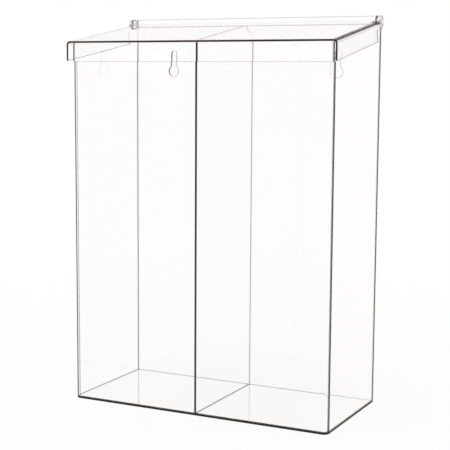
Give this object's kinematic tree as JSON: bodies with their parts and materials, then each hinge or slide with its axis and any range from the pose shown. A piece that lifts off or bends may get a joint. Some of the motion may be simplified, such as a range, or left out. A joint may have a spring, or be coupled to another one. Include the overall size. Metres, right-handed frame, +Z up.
{
  "type": "disposable glove dispenser",
  "caption": "Clear plastic wall dispenser for disposable gloves: a tall divided box with an open slot under a sloping hinged lid.",
  "frame": {"origin": "centre of the base, at the middle of the overall footprint", "axes": "+Z up, +Y towards the wall that it hangs on, +X to the right of someone who faces its front"},
  "size_m": [0.3152, 0.1428, 0.427],
  "materials": {
    "clear_sheet": "polished clear sheet",
    "rivet": "translucent moulded plastic"
  },
  "bodies": {
    "box": {"front_and_sides": "clear_sheet", "bottom_panel": "clear_sheet", "back_panel": "clear_sheet", "divider": "clear_sheet", "hinge_rivet_left": "rivet", "hinge_rivet_right": "rivet", "rivet_cap_left": "rivet", "rivet_cap_right": "rivet"},
    "lid": {"lid": "clear_sheet"}
  },
  "joints": [
    {"name": "lid_hinge", "type": "hinge", "parent": "box", "child": "lid", "pos_m": [0, 0.06315, 0.4202], "axis": [-1, 0, 0], "range_deg": [0, 102]}
  ]
}
